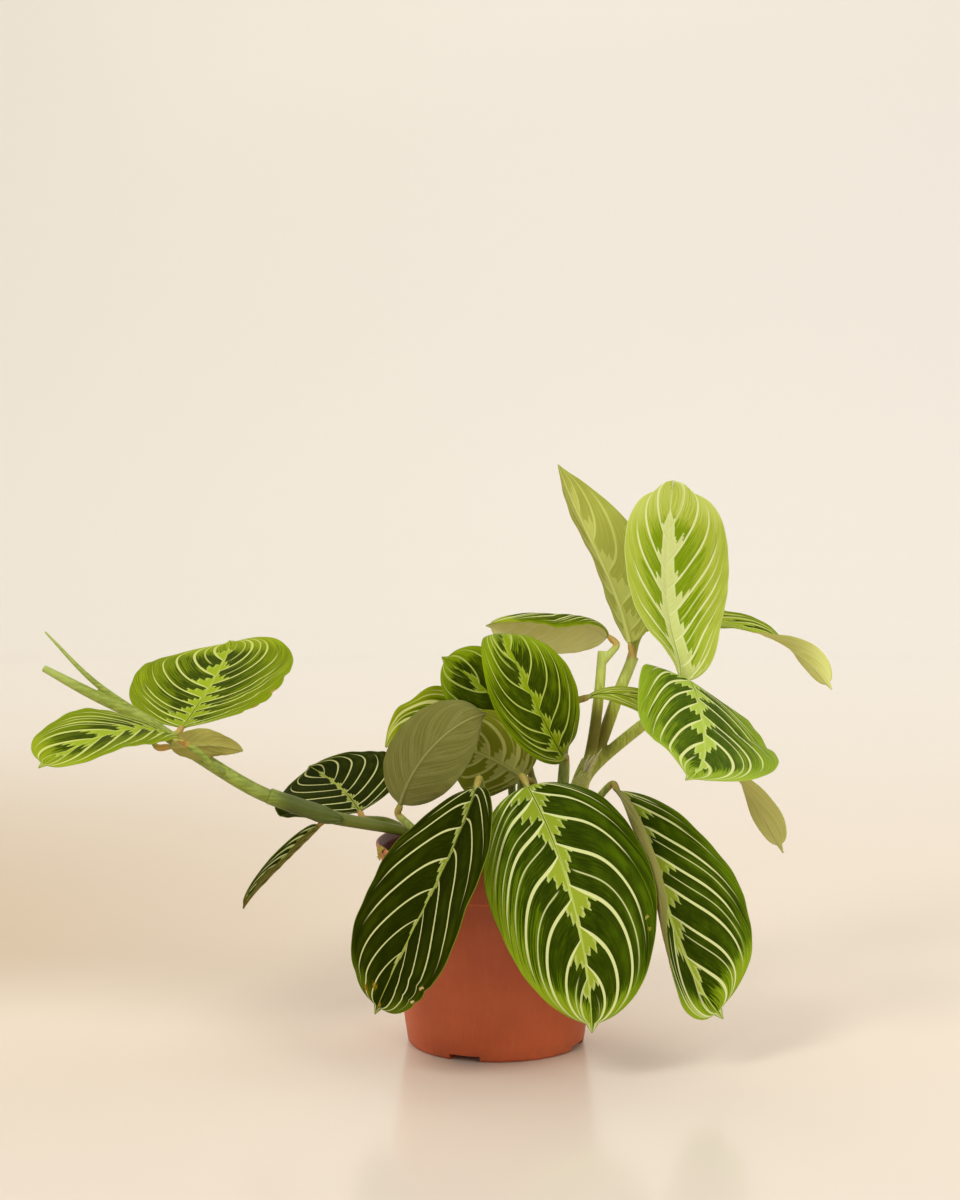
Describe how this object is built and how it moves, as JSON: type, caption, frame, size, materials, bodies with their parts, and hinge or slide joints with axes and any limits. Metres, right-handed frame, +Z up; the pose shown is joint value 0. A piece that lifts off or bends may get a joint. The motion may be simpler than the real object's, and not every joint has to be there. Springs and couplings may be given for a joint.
{
  "type": "potted prayer plant",
  "caption": "Potted prayer plant with large oval veined leaves on arching stems, in a plain tapered nursery pot with a collar band.",
  "frame": {"origin": "centre of the pot's foot, on the surface that it stands on", "axes": "+Z up through the pot; the plant's long stem leans out along -X and its front leaves hang over the rim towards -Y"},
  "size_m": [0.3949, 0.1718, 0.2895],
  "materials": {
    "pot_plastic": "satin moulded plastic",
    "soil": "rough crumbly peat mix",
    "stem": "smooth living stem",
    "leaf": "satin leaf, dark green with lime and cream veins",
    "leaf_young": "satin young leaf, pale lime"
  },
  "bodies": {
    "root": {"pot": "pot_plastic", "soil": "soil", "stem_left": "stem", "stem_right": "stem", "petiole_front_centre": "stem", "petiole_front_left": "stem", "petiole_front_right": "stem", "petiole_centre": "stem", "petiole_centre_back": "stem", "petiole_left_underside": "stem", "petiole_left_wavy": "stem", "petiole_left_olive": "stem", "petiole_right_low": "stem", "leaf_front_centre": "leaf", "leaf_front_left": "leaf", "leaf_front_right": "leaf", "leaf_centre": "leaf", "leaf_centre_back": "leaf", "leaf_left_underside": "leaf", "leaf_left_wavy": "leaf", "leaf_left_olive": "leaf", "leaf_left_dark": "leaf", "leaf_left_hanging": "leaf", "leaf_far_upper": "leaf", "leaf_far_lower": "leaf", "leaf_far_young": "leaf_young", "leaf_top_folded": "leaf_young", "leaf_top_bright": "leaf_young", "leaf_right_back": "leaf", "leaf_right_cupped": "leaf", "leaf_right_low": "leaf", "leaf_top_left": "leaf"}
  },
  "joints": []
}
